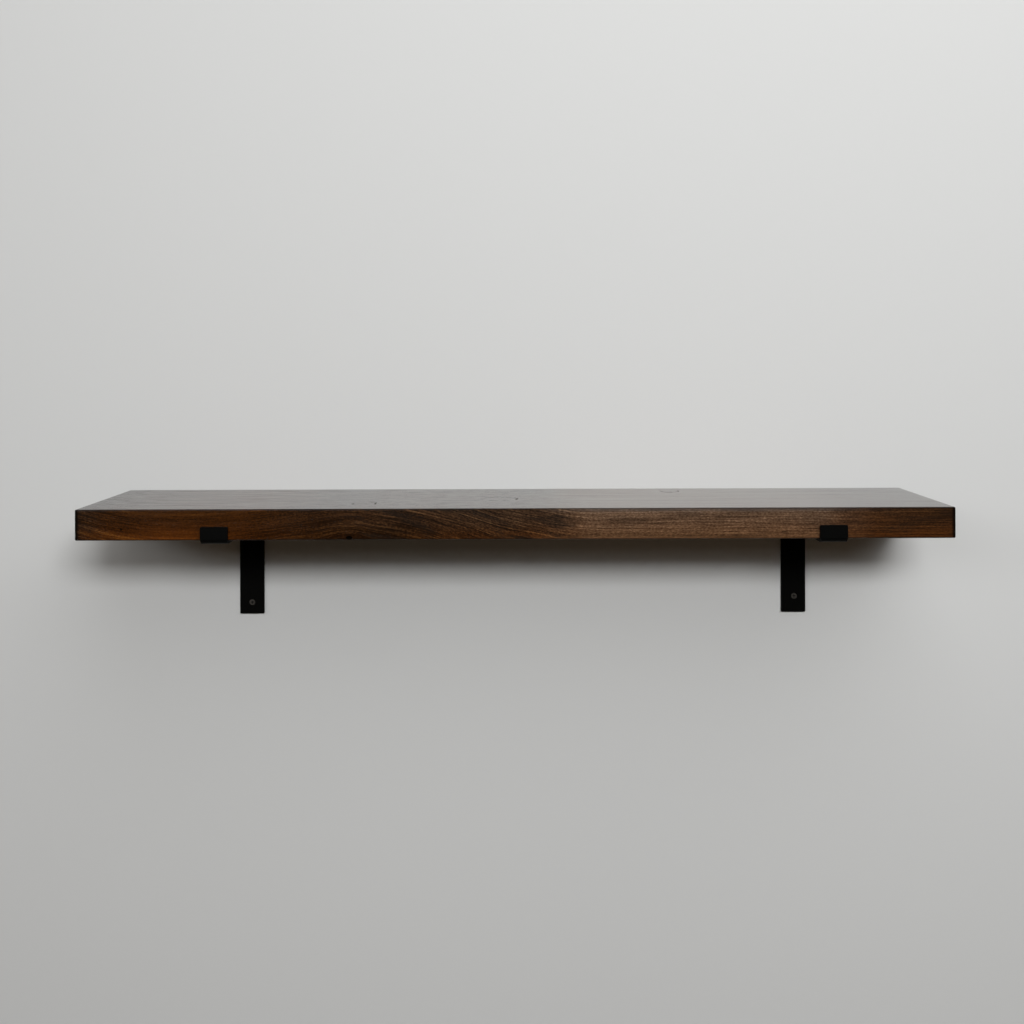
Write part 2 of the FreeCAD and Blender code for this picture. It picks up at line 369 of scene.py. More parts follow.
# rings round the pith, bent by the rise along the plank, with fibres and pores drawn out along the grain
def walnutFinish():
    material, start = newTree("walnut")
    x, y, z = objectPlace(start)
    along = (x + halfLength) / (2 * halfLength)

    # a noise drawn out along the grain
    def grain(name, height):
        return start.noise((x, y, height), *wood["grain"][name])

    # a share that rises between the limits of this name
    def limited(name, value):
        return start.step(value, *wood["limits"][name])

    # a value given along the plank
    def table(name):
        return start.ramp(along, alongStops(wood[name]), "EASE")

    # height of the growth rings, lifted round the knots
    riseSpan = wood["riseSpan"]
    rise = start.ramp(along, alongStops(wood["rise"], riseSpan, -riseSpan), "B_SPLINE")
    slow, quick = grain("slow", z), grain("quick", z)
    level = z - rise * riseSpan + (slow - 0.5) * wood["slowWaver"] + (quick - 0.5) * wood["quickWaver"]
    wide, deep, high = wood["knotReach"]
    for knot in knots:
        reach = ((x - knot["x"]) / wide) ** 2.0 + ((z - knot["z"]) / high) ** 2.0
        reach = reach + ((y - knot["y"]) / deep) ** 2.0
        level = level - knot["lift"] * start.math("EXPONENT", reach * -1.0)
    # in the top: a heart inside each knot, with rings of its own
    upper = limited("upperHalf", z)
    heart, swirl = 0.0, 0.0
    for knot in topKnots:
        reach = ((x - knot["x"]) / knot["along"]) ** 2.0 + ((y - knot["y"]) / knot["across"]) ** 2.0
        reach = reach * (0.7 + slow * 0.6)
        level = level - upper * start.math("EXPONENT", reach * -0.4) * knot["lift"]
        spot = start.math("EXPONENT", reach ** 1.5 * -0.8) * upper
        heart = spot + heart
        swirl = spot * start.math("SINE", start.math("SQRT", reach) * 15.0 + quick * 9.0) + swirl

    # tone from rings, bands, streaks, fibres, mottle and pores
    radius = start.math("SQRT", (y - wood["pithY"]) ** 2.0 + (level - wood["pithZ"]) ** 2.0)
    spacing = start.noise((radius, 3.7, 1.3), (wood["ringShiftScale"], 1.0, 1.0), 2.0)
    ring = start.math("FRACT", radius / wood["ringWidth"] + spacing * wood["ringShift"])
    late, early = start.ramp(ring, wood["late"]), start.ramp(ring, wood["early"])
    bands, streaks = grain("bands", level), grain("streaks", level)
    fibres, mottle = grain("fibres", level), grain("mottle", level)
    pores = limited("pores", grain("pores", level))
    shown = limited("shown", grain("shown", level))
    contrast = start.math("MAXIMUM", table("contrastAlong"), limited("top", z) * 0.9)
    pale = table("paleAlong")
    tone = (bands - 0.5) * 0.7 + (streaks - 0.5) * 1.5 + (fibres - 0.5) * 0.7 + (mottle - 0.5) * 1.2
    tone = tone + early * shown * 0.34 - late * shown * 0.2 - pores * 0.2 + (mottle - 0.5) * pale * 0.5
    tone = start.math("MAXIMUM", tone * contrast + wood["middleTone"], 0.0)

    # colours along the plank, the stain's depth, and its dark clouds
    grey = table("greyAlong") * (1.0 - (1.0 - limited("foot", z)) * 0.5)
    colour = start.mix(grey, start.ramp(tone, wood["warm"]), start.ramp(tone, wood["grey"]))
    # pale straight-grained wood; part of its lighter, greyer colour is painted sheen
    colour = start.mix(pale, colour, start.ramp(tone, wood["pale"]))
    shade = start.mix(limited("shade", z), table("footShade"), table("headShade"))
    colour = start.mix(1.0, colour, shade, "MULTIPLY")
    cloud = limited("cloud", grain("cloud", level)) * table("cloudAlong")
    colour = start.mix(cloud * 0.72, colour, wood["cloudColour"])
    # painted sheen: the front's colour turns from warm at the foot to cooler and greyer at the top
    paintedSheenTint = start.ramp(limited("height", z), wood["paintedSheenTint"])
    colour = start.mix(1.0, colour, paintedSheenTint, "MULTIPLY")
    # on the pale stretch a painted sheen greys the front's top edge and, more faintly, the top face; the
    # front's foot is rubbed through to bare wood
    front = 1.0 - limited("behindFront", y)
    # painted sheen: a grey reflection painted over the front's top edge and, at a lower share, over the top
    # face
    bloom = limited("bloom", z + (mottle - 0.5) * 9.0) * (front * 0.25 + 0.3)
    colour = start.mix(bloom * pale, colour, wood["paintedSheenColour"])
    rubbed = (1.0 - limited("rubbed", z)) * front * pale
    colour = start.mix(rubbed * 0.6, colour, wood["footGlow"])
    colour = start.mix(heart * 0.7, colour, start.ramp(tone + swirl * 0.25, wood["heart"]))

    # end grain drinks more stain and stays dull
    outwards = start.math("ABSOLUTE", x)
    endGrain, arris = (start.step(outwards, *(halfLength - reach for reach in wood[name]))
                       for name in ("endGrainReach", "arrisReach"))
    endTone = 0.62 - late * 0.4 + (grain("vessels", z) - 0.5) * 1.1 + (bands - 0.5) * 0.5
    endTone = start.math("MAXIMUM", endTone, 0.0)
    colour = start.mix(endGrain, colour, start.ramp(endTone, wood["end"]))
    arris = arris * (1.0 - limited("behindArris", y))
    colour = start.mix(arris * 0.9, colour, wood["arrisColour"])

    # hollows and eased edges are dull; the near black in the knot hole and in the top knots' splits is
    # painted shade, at the pin knot it is the knot's own dark wood
    hollow, eased = (start.node("ShaderNodeAttribute", {"attribute_name": name}, output="Fac")
                     for name in ("hollow", "eased"))
    dull = start.math("MAXIMUM", arris * 0.8, eased * front * 0.35)
    dull = start.math("MAXIMUM", limited("hollow", hollow), dull)
    colour = start.mix(eased * 0.35, colour, wood["easedColour"])
    rough = 0.17 - along * 0.1 + (bands - 0.5) * 0.3 + (streaks - 0.5) * 0.2 + fibres * 0.04 + pores * 0.12
    rough = start.math("MAXIMUM", rough, wood["leastRough"])
    height = fibres * 0.5 - pores - late * 0.25 + streaks * 0.4
    height = height * (1.0 - limited("topSkin", z) * 0.65)
    # matt near-black shader: painted shade in the knot hole and the splits, dark wood at the pin knot, and
    # the darker upright and eased front edges
    matt = start.node("ShaderNodeBsdfPrincipled", inputs={
        "Base Color": wood["knotColour"], "Roughness": 1.0, "Specular IOR Level": 0.0})
    finishWith(start, {
        "Base Color": colour,
        "Roughness": rough + eased * 0.25 + endGrain * 0.4,
        "IOR": 1.5,
        "Specular IOR Level": 0.5,
        "Normal": start.bump(height, 0.22, 0.12 * mm),
    }, dull, matt)
    return material


plank = {
    "edgeRound": 2.0 * mm,
    "edgeSteps": 5,
    "xStep": 9.0 * mm,
    "yStep": 8.0 * mm,
    "zStep": 2.6 * mm,
    "fineStep": 0.45 * mm,
    "knotStep": 3.0 * mm,
    "leastStep": 0.15 * mm,
    "borderGap": 0.4 * mm,  # lines nearer than this to a patch's border are dropped
    "knotMargin": 9.0 * mm,  # from a top knot's rim to the border of its patch
    # rings of a patch: shares of the way in from its border, mm outside the rim, shares of what is left
    "borderRings": [0.0, 0.35, 0.7],
    "rimRings": [7.0, 4.6, 3.2, 2.2, 1.4, 0.7, 0.0, -0.7, -1.4, -2.2, -3.2, -4.6, -7.0],
    "heartRings": [0.6, 0.3, 0.0],
    "rimWaves": [(3, 0.07, "x"), (7, 0.045, "y")],  # waves round the rim, share of its size, seed
    "splitFade": 14.0,  # degrees over which a split ends
    "frontReach": 3.0 * mm,  # how far behind the front its knots are cut in
}


# lines along one side of the plank: even steps, crowded where something is cut in, the borders of
# the knots' patches kept exactly, and at both ends equal angles of the eased edge
def plankLines(axis, step, places, borders):
    edge = plank["edgeRound"]
    low, high = plankLow[axis] + edge, plankHigh[axis] - edge
    turn = np.tan(np.linspace(0, math.pi / 4, plank["edgeSteps"] + 1)[1:]) * edge
    middle = [np.linspace(low, high, int((high - low) / step) + 1)]
    for place, reach, fine in places:
        middle.append(np.arange(place - reach, place + reach + fine / 2, fine))
    middle = np.unique(chain(*middle).round(6))
    middle = middle[(middle >= low) & (middle <= high)]
    middle = middle[chain([True], np.diff(middle) > plank["leastStep"])]
    if len(borders):
        borders = np.unique(np.array(borders))
        away = np.abs(middle[:, None] - borders[None, :]).min(axis=1)
        middle = np.sort(chain(middle[away > plank["borderGap"]], borders))
    return chain(low - turn[::-1], middle, high + turn)


# lowest and highest corner of the square patch round a top knot
def knotSquare(knot):
    half = max(knot["along"], knot["across"]) * mm + plank["knotMargin"]
    middle = np.array([knot["x"], knot["y"]]) * mm
    return middle - half, middle + half


# a patch in the top: rings that shrink from the square border to the wavy ellipse of the rim and on to the
# middle; a split is a parabola across the rim, faded out at both ends of its stretch
def topKnotPatch(knot, xLines, yLines):
    low, high = knotSquare(knot)
    slack = 1e-4 * mm
    xs = xLines[(xLines > low[0] - slack) & (xLines < high[0] + slack)]
    ys = yLines[(yLines > low[1] - slack) & (yLines < high[1] + slack)]
    flatX, flatY = np.ones(len(xs) - 1), np.ones(len(ys) - 1)
    borderX = chain(xs[:-1], flatY * xs[-1], xs[:0:-1], flatY * xs[0])
    borderY = chain(flatX * ys[0], ys[:-1], flatX * ys[-1], ys[:0:-1])
    awayX, awayY = borderX - knot["x"] * mm, borderY - knot["y"] * mm
    size = np.hypot(awayX, awayY)
    angle = np.arctan2(awayY, awayX)
    rim = mm / np.hypot(np.cos(angle) / knot["along"], np.sin(angle) / knot["across"])
    waves = 1.0
    for count, share, seed in plank["rimWaves"]:
        waves = waves + share * np.sin(count * angle + knot[seed])
    rim = rim * waves
    offsets = np.array(plank["rimRings"])[:, None]
    rings = rim + offsets * mm
    blend = np.array(plank["borderRings"])[:, None]
    outside = size * (1 - blend) + rings[0] * blend
    inside = rings[-1] * np.array(plank["heartRings"])[:, None]
    radius = chain(outside, rings, inside) / size
    degrees = np.degrees(angle)
    groove = np.zeros_like(rings)
    splitShade = np.zeros_like(rings)
    for begin, finish, half, deep, shade in knot["splits"]:
        aside = np.abs((degrees - (begin + finish) / 2 + 180) % 360 - 180)
        share = np.clip(((finish - begin) / 2 - aside) / plank["splitFade"] + 0.4, 0, 1)
        share = share * (0.8 + 0.2 * np.sin(11 * angle + begin))
        cut = np.clip(1 - (offsets / np.maximum(half * share, 1e-3)) ** 2, 0, 1) * (share > 0)
        groove = np.maximum(groove, cut * deep * share * mm)
        # painted shade in the split's groove, darkest along its middle
        splitShade = np.maximum(splitShade, np.clip(2.5 * cut, 0, 1) * shade * (0.4 + 0.6 * share))
    pad = [(len(outside), len(inside)), (0, 0)]
    points = rowsOf(knot["x"] * mm + radius * awayX, knot["y"] * mm + radius * awayY, plankHigh[2])
    faces = gridFaces(*radius.shape, closeColumns=True)
    return (points, faces), np.pad(groove, pad).ravel(), np.pad(splitShade, pad).ravel()


# box faces as grids, with the cells under the top knots' patches left out; a point is clamped to the inner
# box and pushed out by the edge radius along what is left, then sunk along that direction by the knots
def makePlank(finish):
    fine = plank["fineStep"]
    squares = [knotSquare(knot) for knot in topKnots]
    crowdedX, crowdedY = (
        [((low[a] + high[a]) / 2, (high[a] - low[a]) / 2, plank["knotStep"]) for low, high in squares]
        for a in range(2))
    bordersX, bordersY = ([corner[a] for square in squares for corner in square] for a in range(2))
    knotsX = [(knot["x"] * mm, 2 * knot["wide"] * mm, fine) for knot in knots]
    knotsZ = [(knot["z"] * mm, 2 * knot["high"] * mm, fine) for knot in knots]
    axisLines = [
        plankLines(0, plank["xStep"], knotsX + crowdedX, bordersX),
        plankLines(1, plank["yStep"], crowdedY, bordersY),
        plankLines(2, plank["zStep"], knotsZ, []),
    ]
    patches = []
    for axis in range(3):
        across = [axisLines[a] for a in range(3) if a != axis]
        side = np.stack(np.meshgrid(*across, indexing="ij"), axis=-1)
        for end in (plankLow[axis], plankHigh[axis]):
            points = np.insert(side.reshape(-1, 2), axis, end, axis=1)
            faces = gridFaces(*side.shape[:2])
            if axis == 2 and end > 0:
                middle = points[faces].mean(axis=1)[:, :2]
                for low, high in squares:
                    faces = faces[~((middle > low) & (middle < high)).all(axis=1)]
                    middle = points[faces].mean(axis=1)[:, :2]
            plain = np.zeros(len(points))
            patches.append(((points, faces), plain, plain))
    patches += [topKnotPatch(knot, *axisLines[:2]) for knot in topKnots]
    grids, sinks, splitShades = zip(*patches)
    points, faces = joined(grids)
    sink, hollow = chain(*sinks), chain(*splitShades)
    edge = plank["edgeRound"]
    inner = np.clip(points, plankLow + edge, plankHigh - edge)
    outward = points - inner
    outward /= np.linalg.norm(outward, axis=1, keepdims=True)
    points = inner + outward * edge
    for knot in knots:
        awayX = (points[:, 0] / mm - knot["x"]) / knot["wide"]
        awayZ = (points[:, 2] / mm - knot["z"]) / knot["high"]
        bowl = np.exp(-(awayX ** 2 + awayZ ** 2) ** 2) * (points[:, 1] < plankLow[1] + plank["frontReach"])
        sink += bowl * np.clip(-2 * outward[:, 1] - 1, 0, 1) * knot["deep"] * mm
        # painted shade: the knot hole is marked near black; at the shallow pin knot the mark is its dark
        # wood
        hollow = np.maximum(hollow, np.clip(bowl * 1.6, 0, 1))
    points = points - outward * sink[:, None]
    eased = np.clip(20 * (1 - np.abs(outward).max(axis=1)), 0, 1)
    marks = {"hollow": hollow, "eased": eased}
    addPiece("plank", points, faces, finish, ["shelf_board"], 50, marks)


makePlank(walnutFinish())
print("plank done")


# brackets

bracket = {
    "thickness": 4.76 * mm,
    "innerRadius": 3.0 * mm,
    "drawIn": 0.8 * mm,
    "cornerRound": 1.5 * mm,
    "rimRound": 0.55 * mm,
    "rimSteps": 4,
    "cornerSteps": 3,
    "sideSteps": 3,
    "thickSteps": 2,
    "holeSquare": 9.0 * mm,  # half side of the patch round a hole
    "holeSteps": 14,
    "holeRings": 4,
    "bendSteps": 26,
    "step": 9.0 * mm,
    "mouthBevel": 0.15 * mm,
    "coatColours": ((0.0021, 0.0022, 0.0021, 1), (0.0034, 0.0035, 0.0033, 1)),
    "speckColour": (0.012, 0.012, 0.0115, 1),
}

wallHole = {"mouth": 5.5 * mm, "bore": 2.7 * mm}
shelfHole = {"mouth": 4.7 * mm, "bore": 2.4 * mm}


# powder coat: near black, a fine orange peel, a little dust in the roughness
def powderCoatFinish():
    material, start = newTree("powderCoat")
    place = objectPlace(start)
    peel = start.noise(place, (1.1, 1.1, 1.1), 2.0)
    grit = start.noise(place, (4.5, 4.5, 4.5), 1.0)
    cloud = start.noise(place, (0.03, 0.03, 0.03), 3.0)
    specks = start.step(grit, 0.7, 0.78)
    colour = start.mix(cloud, *bracket["coatColours"])
    colour = start.mix(specks * 0.25, colour, bracket["speckColour"])
    finishWith(start, {
        "Base Color": colour,
        "Roughness": 0.4 + cloud * 0.16 + grit * 0.08,
        "IOR": 1.45,
        "Specular IOR Level": 0.06,
        "Normal": start.bump(peel + grit * 0.5, 0.12, 0.08 * mm),
    })
    return material


# rounds a flat strap: its outline's corners become arcs and the square of rim outside the rim radius
# becomes a quarter disc, by scaling each point of a square to its own largest coordinate
def roundedStrap(s, w, n, halfLong, halfWide, halfThick):
    corner, rim = bracket["cornerRound"], bracket["rimRound"]
    a = s - halfLong
    edgeGap = np.minimum(halfLong - np.abs(a), halfWide - np.abs(w))
    out = np.clip(rim - edgeGap, 0, rim)
    up = np.clip(np.abs(n) - (halfThick - rim), 0, rim)
    shrink = np.maximum(out, up) / np.maximum(np.hypot(out, up), tiny)
    pull = out * (1 - np.where(out > 0, shrink, 1))
    n = np.sign(n) * (np.abs(n) - up * (1 - np.where(up > 0, shrink, 1)))
    va = np.clip(np.abs(a) - (halfLong - corner), 0, None)
    vw = np.clip(np.abs(w) - (halfWide - corner), 0, None)
    reach = np.maximum(va, vw) - pull
    size = np.maximum(np.hypot(va, vw), tiny)
    a = np.sign(a) * (np.minimum(np.abs(a), halfLong - corner) + va / size * reach)
    w = np.sign(w) * (np.minimum(np.abs(w), halfWide - corner) + vw / size * reach)
    return a + halfLong, w, n


# leg up the wall, quarter turn, arm out, quarter turn, lip up: the strap's middle line, with thickness
# added along its normal; a bend's stretched side draws in by a raised cosine along the bend
def bentStrap(s, w, n, path):
    turnRadius = bracket["innerRadius"] + bracket["thickness"] / 2
    halfThick = bracket["thickness"] / 2
    wallTurn = np.clip((s - path["legEnd"]) / turnRadius, 0, math.pi / 2)
    lipTurn = np.clip((s - path["armEnd"]) / turnRadius, 0, math.pi / 2)
    onLeg = np.minimum(s, path["legEnd"])
    onArm = np.clip(s - path["armStart"], 0, path["armEnd"] - path["armStart"])
    onLip = np.maximum(s - path["lipStart"], 0)
    y = -halfThick - turnRadius * (1 - np.cos(wallTurn)) - onArm - turnRadius * np.sin(lipTurn)
    z = path["footZ"] + onLeg + turnRadius * np.sin(wallTurn)
    z = z + turnRadius * (1 - np.cos(lipTurn)) + onLip
    lean = wallTurn - lipTurn
    y = y + n * np.cos(lean)
    z = z + n * np.sin(lean)
    side = n / halfThick
    for turn, outer in ((wallTurn, (1 + side) / 2), (lipTurn, (1 - side) / 2)):
        pinch = np.sin(2 * turn) ** 2 * outer * bracket["drawIn"]
        w = w * (1 - pinch / path["halfWide"])
    return np.stack([path["centreX"] + w, y, z], axis=-1)


# a countersunk hole: rings from the square patch on the sunk face to the mouth, down the cone and bore,
# and out to the square patch on the other face; the patch stays on the strap's middle line
def holeSleeve(holeS, holeW, hole, halfThick):
    half, steps, rings = bracket["holeSquare"], bracket["holeSteps"], bracket["holeRings"]
    walk = np.linspace(-half, half, steps + 1)[:-1]
    flat = np.full(steps, half)
    squareS = chain(walk, flat, -walk, -flat)
    squareW = chain(-flat, walk, flat, -walk)
    size = np.hypot(squareS, squareW)
    dirS, dirW = squareS / size, squareW / size
    bevel, mouth, bore = bracket["mouthBevel"], hole["mouth"], hole["bore"]
    sink = mouth - bore
    radii = np.array([mouth + bevel, mouth, mouth - 0.5 * sink, bore, bore, bore + bevel])
    depth = np.array([-halfThick, -halfThick + bevel, -halfThick + bevel + 0.5 * sink,
                      -halfThick + sink, halfThick - bevel, halfThick])
    blend = np.linspace(0, 1, rings + 1)[:-1, None]

    # from the square to the first ring, through the hole, and from the last ring to the square
    def through(square, ring):
        front, back = (square * (1 - blend) + end * blend for end in (ring[0], ring[-1]))
        return chain(front, ring, back[::-1])

    s = through(holeS + squareS, holeS + radii[:, None] * dirS)
    w = through(squareW, holeW + radii[:, None] * dirW)
    n = chain(np.full(rings, -halfThick), depth, np.full(rings, halfThick))
    return rowsOf(s, w, n[:, None]), gridFaces(*s.shape, closeColumns=True)


# flat strap as six grids, with the cells under the hole patches left out, then rounded and bent
def makeBracket(side, finish):
    node = "bracket_" + side
    low, high = boxOf(node)
    thick, inner = bracket["thickness"], bracket["innerRadius"]
    outer = inner + thick
    turn = math.pi / 2 * (inner + thick / 2)
    seatZ = plankLow[2]
    path = {"centreX": (low[0] + high[0]) / 2, "halfWide": (high[0] - low[0]) / 2, "footZ": low[2]}
    path["legEnd"] = seatZ - outer - low[2]
    path["armStart"] = path["legEnd"] + turn
    path["armEnd"] = path["armStart"] - outer - (low[1] + outer)
    path["lipStart"] = path["armEnd"] + turn
    long = path["lipStart"] + high[2] - (seatZ + inner)
    halfWide, halfThick, square = path["halfWide"], thick / 2, bracket["holeSquare"]
    holes = []
    for level in ("lower", "upper"):
        middle = sum(boxOf(f"wall_screw_{side}_{level}")) / 2
        holes.append((middle[2] - path["footZ"], middle[0] - path["centreX"], wallHole))
    for place in ("rear", "front"):
        middle = sum(boxOf(f"shelf_screw_{side}_{place}")) / 2
        holes.append((path["armStart"] - outer - middle[1], middle[0] - path["centreX"], shelfHole))
    rim, corner = bracket["rimRound"], bracket["cornerRound"]
    ends = [bracket["rimSteps"], bracket["cornerSteps"]]
    # along the strap: even steps on the runs, more in the bends, a square of cells round each hole
    stops = [(hole[0], "hole") for hole in holes] + [(long - corner, "run")]
    stops += [(path["legEnd"], "run"), (path["armStart"], "bend")]
    stops += [(path["armEnd"], "run"), (path["lipStart"], "bend")]
    breaks, counts = [0, rim, corner], ends
    for stop, kind in sorted(stops):
        begin = stop - square if kind == "hole" else stop
        run = max(1, int((begin - breaks[-1]) / bracket["step"]))
        counts = counts + [bracket["bendSteps"] if kind == "bend" else run]
        breaks = breaks + [begin]
        if kind == "hole":
            counts = counts + [bracket["holeSteps"]]
            breaks = breaks + [stop + square]
    sLines = lines(breaks + [long - rim, long], counts + ends[::-1])
    # across it, and through its thickness
    half = [square, halfWide - corner, halfWide - rim, halfWide]
    counts = ends + [bracket["sideSteps"], bracket["holeSteps"], bracket["sideSteps"]] + ends[::-1]
    wLines = lines([-place for place in half[::-1]] + half, counts)
    nBreaks = [-halfThick, -halfThick + rim, halfThick - rim, halfThick]
    nLines = lines(nBreaks, [ends[0], bracket["thickSteps"], ends[0]])
    patches = []
    s, w = np.meshgrid(sLines, wLines, indexing="ij")
    middleS = (s[:-1, :-1] + s[1:, 1:]).ravel() / 2
    middleW = (w[:-1, :-1] + w[1:, 1:]).ravel() / 2
    solid = np.ones(middleS.size, bool)
    for holeS, holeW, hole in holes:
        solid &= (np.abs(middleS - holeS) > square) | (np.abs(middleW) > square)
        patches.append(holeSleeve(holeS, holeW, hole, halfThick))
    for n in (-halfThick, halfThick):
        patches.append((rowsOf(s, w, n), gridFaces(*s.shape)[solid]))
    s, n = np.meshgrid(sLines, nLines, indexing="ij")
    for w in (-halfWide, halfWide):
        patches.append((rowsOf(s, w, n), gridFaces(*s.shape)))
    w, n = np.meshgrid(wLines, nLines, indexing="ij")
    for s in (0.0, long):
        patches.append((rowsOf(s, w, n), gridFaces(*w.shape)))
    points, faces = joined(patches)
    flat = roundedStrap(*points.T, long / 2, halfWide, halfThick)
    addPiece(f"strapBracket_{side}", bentStrap(*flat, path), faces, finish, [node], 38)


powderCoat = powderCoatFinish()
for side in sides:
    makeBracket(side, powderCoat)
print("brackets done")


# screws

screwLook = {
    "wallShank": 2.4 * mm,  # radius
    "shelfShank": 2.1 * mm,
    "rimHeight": 0.25 * mm,
    "crossHalfWidth": 0.75 * mm,
    "crossReach": 0.6,  # of the head's radius
    "crossDepth": 1.7 * mm,
    "wallSlope": 0.1 * mm,
    "crossDark": 3.0,  # blackness per share of the recess's depth
    # painted shade of the countersink: blackness at the head's rim, also given to the cone and shank
    "rimShadeAndShankDark": 0.6,
    "rimShadeStart": 0.75,  # of the head's radius
    "discStart": 0.6,  # of the head's radius, where the square grid begins to round off
    "rimBevel": 0.05 * mm,
    "plainShare": 0.22,  # of the length, under the head
    "plainRows": 3,
    "leastPlain": 1.0 * mm,
    "pitch": 2.1 * mm,
    "coreShare": 0.7,
    "ridgeShare": 0.34,
    "rowsPerTurn": 10,
    "pointLength": 7.0 * mm,
    "gridSteps": [3, 1, 4, 5, 5],  # of the head's top, from the middle out
    "bronzeColours": ((0.062, 0.058, 0.052, 1), (0.1, 0.094, 0.085, 1)),
    "recessColour": (0.004, 0.0038, 0.0035, 1),
}


# dark bronzed steel, cloudy, blacker down in the recess, and darkened at the head's rim as painted shade of
# the countersink
def bronzedFinish():
    material, start = newTree("bronzedSteel")
    place = objectPlace(start)
    cloud = start.noise(place, (0.8, 0.8, 0.8), 3.0)
    fine = start.noise(place, (6.0, 6.0, 6.0), 2.0)
    colour = start.mix(cloud, *screwLook["bronzeColours"])
    hollow = start.node("ShaderNodeAttribute", {"attribute_name": "hollow"}, output="Fac")
    # the hollow mark: black down in the recess, and painted shade of the countersink at the head's rim
    colour = start.mix(hollow, colour, screwLook["recessColour"])
    finishWith(start, {
        "Base Color": colour,
        "Metallic": 0.4,
        "Roughness": 0.32 + fine * 0.16 + cloud * 0.08,
        "Normal": start.bump(fine, 0.08, 0.05 * mm),
    })
    return material


# head top: a square grid laid along the cross, pushed out to a disc at its border and sunk where the cross
# is; below it rings down the head's cone, then a shank whose radius follows a helical ridge and tapers to a
# point
def makeScrew(name, axis, shankRadius, finish):
    low, high = boxOf(name)
    span = high - low
    headRadius = span[(axis + 1) % 3] / 2
    look = screwLook
    cross, slope = look["crossHalfWidth"], look["wallSlope"]
    reach = look["crossReach"] * headRadius
    side = lines([0, cross - slope, cross, reach * 0.55, reach, headRadius], look["gridSteps"])
    side = chain(-side[:0:-1], side)
    u, v = np.meshgrid(side, side, indexing="ij")
    wallU, wallV = (np.clip((cross - np.abs(a)) / slope, 0, 1) for a in (u, v))
    rampU, rampV = (np.clip((reach - np.abs(a)) / (reach - cross), 0, 1) ** 0.7 for a in (u, v))
    sunk = look["crossDepth"] * np.maximum(wallV * rampU, wallU * rampV)
    square = np.maximum(np.abs(u), np.abs(v))
    disc = square / np.maximum(np.hypot(u, v), tiny)
    share = np.clip((square / headRadius - look["discStart"]) / (1 - look["discStart"]), 0, 1)
    share = share * share * (3 - 2 * share)
    push = 1 + (disc - 1) * share
    top = np.stack([u * push, v * push, sunk], axis=-1)
    border = chain(top[:-1, 0], top[-1, :-1], top[:0:-1, -1], top[0, :0:-1])
    angle = np.arctan2(border[:, 1], border[:, 0])
    rim = look["rimHeight"]
    length = span[axis]
    neckDepth = rim + headRadius - shankRadius
    threadStart = max(neckDepth + look["leastPlain"], look["plainShare"] * length)
    headRows = np.array([0, rim * 0.3, rim, (neckDepth + rim) * 0.5, neckDepth])
    headRadii = np.array([headRadius, headRadius, headRadius - look["rimBevel"],
                          (headRadius + shankRadius) / 2, shankRadius])
    plain = np.linspace(neckDepth, threadStart, look["plainRows"] + 1)[1:]
    rows = int((length - threadStart) / look["pitch"] * look["rowsPerTurn"])
    thread = np.linspace(threadStart, length, rows + 1)[1:]
    turns = np.mod(thread[:, None] / look["pitch"] - angle[None, :] / (2 * math.pi), 1)
    ridge = np.clip(1 - np.abs(turns - 0.5) / (look["ridgeShare"] / 2), 0, 1)
    begin = np.clip((thread - threadStart) / look["pitch"], 0, 1)[:, None]
    taper = np.clip((length - thread) / look["pointLength"], 0, 1)[:, None] ** 0.8
    core = look["coreShare"] * shankRadius
    threadRadius = (core + (shankRadius - core) * np.maximum(ridge, 1 - begin)) * taper
    straight = chain(headRadii, np.full(len(plain), shankRadius))
    straight = straight[:, None] + np.zeros_like(angle)
    radius = chain(straight, threadRadius)
    depth = chain(headRows, plain, thread)[:, None]
    body = rowsOf(radius * np.cos(angle), radius * np.sin(angle), depth)
    points, faces = joined([(top.reshape(-1, 3), gridFaces(*u.shape)),
                            (body, gridFaces(*radius.shape, closeColumns=True))])
    start = (low + high) / 2
    start[axis] = low[axis]
    placed = start + np.roll(points, axis + 1, axis=1)
    # painted shade: the head darkens towards its rim, where the countersink shades it
    edge = np.clip((square / headRadius - look["rimShadeStart"]) / (1 - look["rimShadeStart"]), 0, 1)
    hollow = np.maximum(sunk / look["crossDepth"] * look["crossDark"], edge * look["rimShadeAndShankDark"])
    hollow = chain(hollow.ravel(), np.full(radius.size, look["rimShadeAndShankDark"]))
    addPiece("detailed_" + name, placed, faces, finish, [name], 32,
             {"hollow": np.clip(hollow, 0, 1)})


bronzed = bronzedFinish()
for side in sides:
    for level in ("upper", "lower"):
        makeScrew(f"wall_screw_{side}_{level}", 1, screwLook["wallShank"], bronzed)
    for place in ("front", "rear"):
        makeScrew(f"shelf_screw_{side}_{place}", 2, screwLook["shelfShank"], bronzed)
print("screws done")


# wall plugs

plugLook = {
    "bore": 2.45 * mm,
    "neck": 14.0 * mm,
    "slit": 1.2 * mm,
    "bodyRelief": 0.3 * mm,
    "teeth": 7,
    "toothPlaces": [0.04, 0.16, 0.96],  # root, crest and end of a tooth, shares of the pitch
    "toothDepth": 0.55 * mm,
    "nose": 3.0 * mm,
    "noseEdge": 0.4 * mm,
    "noseSink": 1.0 * mm,
    "tipSink": 1.2 * mm,
    "mouthEdge": 0.4 * mm,
    "neckEdge": 0.3 * mm,
    "arcSteps": 18,
    "slitSteps": 2,
    "nylonColours": ((0.36, 0.36, 0.345, 1), (0.5, 0.5, 0.475, 1)),
}


# grey nylon, a little cloudy, with fine mould texture
def nylonFinish():
    material, start = newTree("greyNylon")
    place = objectPlace(start)
    cloud = start.noise(place, (0.35, 0.12, 0.35), 3.0)
    fine = start.noise(place, (5.0, 5.0, 5.0), 2.0)
    finishWith(start, {
        "Base Color": start.mix(cloud, *plugLook["nylonColours"]),
        "Roughness": 0.42 + fine * 0.15,
        "IOR": 1.53,
        "Normal": start.bump(fine, 0.1, 0.05 * mm),
    })
    return material


